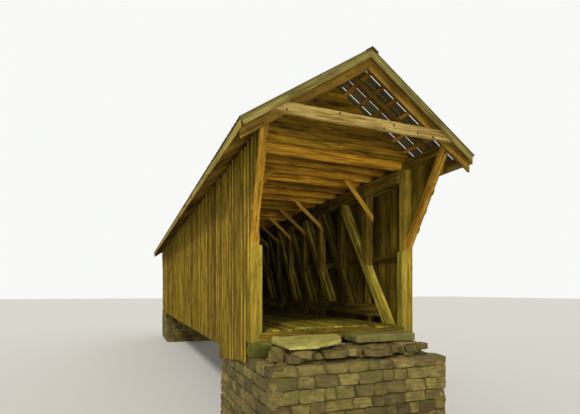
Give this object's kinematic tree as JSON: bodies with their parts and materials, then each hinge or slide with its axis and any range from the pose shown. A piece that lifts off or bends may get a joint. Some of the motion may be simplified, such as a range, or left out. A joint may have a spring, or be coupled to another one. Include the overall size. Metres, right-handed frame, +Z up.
{
  "type": "covered bridge",
  "caption": "One-lane covered timber truss bridge with a gabled roof, board siding, raked portal wings and stone abutments.",
  "frame": {"origin": "on the creek bed under the middle of the bridge, level with the feet of the abutments", "axes": "+Y along the road towards the far portal, +X across the road to the right, +Z up"},
  "size_m": [5.756, 28.398, 8.9155],
  "materials": {
    "masonry": "rough laid field stone, weathered brown and olive",
    "step_stone": "rough split flat stone, pale grey brown",
    "weathered_boards": "unpainted weathered boards and battens, olive brown",
    "pale_timber": "newer sawn softwood with knots",
    "frame_timber": "old rough sawn timber, dry",
    "deck_boards": "worn dusty floor boards",
    "roof_metal": "dull weathered sheet roofing"
  },
  "bodies": {
    "root": {"barge_boards": "pale_timber", "bearing_blocks": "frame_timber", "cheek_boards": "frame_timber", "eave_fascias": "frame_timber", "end_braces": "frame_timber", "end_sills": "frame_timber", "far_abutment": "masonry", "far_steps": "step_stone", "floor_beams": "frame_timber", "gable_walls": "weathered_boards", "knee_braces": "frame_timber", "left_braces": "frame_timber", "left_kerb_chord": "frame_timber", "left_lower_chord": "frame_timber", "left_post_plies": "frame_timber", "left_posts": "frame_timber", "left_purlins": "frame_timber", "left_rafters": "frame_timber", "left_roof_sheet": "roof_metal", "left_side_rails": "frame_timber", "left_siding": "weathered_boards", "left_top_chord": "frame_timber", "middle_deck": "deck_boards", "near_abutment": "masonry", "near_steps": "step_stone", "portal_posts": "frame_timber", "portal_struts": "pale_timber", "portal_ties": "pale_timber", "ridge_cap": "roof_metal", "right_braces": "frame_timber", "right_kerb_chord": "frame_timber", "right_lower_chord": "frame_timber", "right_post_plies": "frame_timber", "right_posts": "frame_timber", "right_purlins": "frame_timber", "right_rafters": "frame_timber", "right_roof_sheet": "roof_metal", "right_side_rails": "frame_timber", "right_siding": "weathered_boards", "right_top_chord": "frame_timber", "runner": "deck_boards", "side_decks": "deck_boards", "step_beds": "masonry", "tie_beams": "frame_timber", "wall_plates": "frame_timber"}
  },
  "joints": []
}
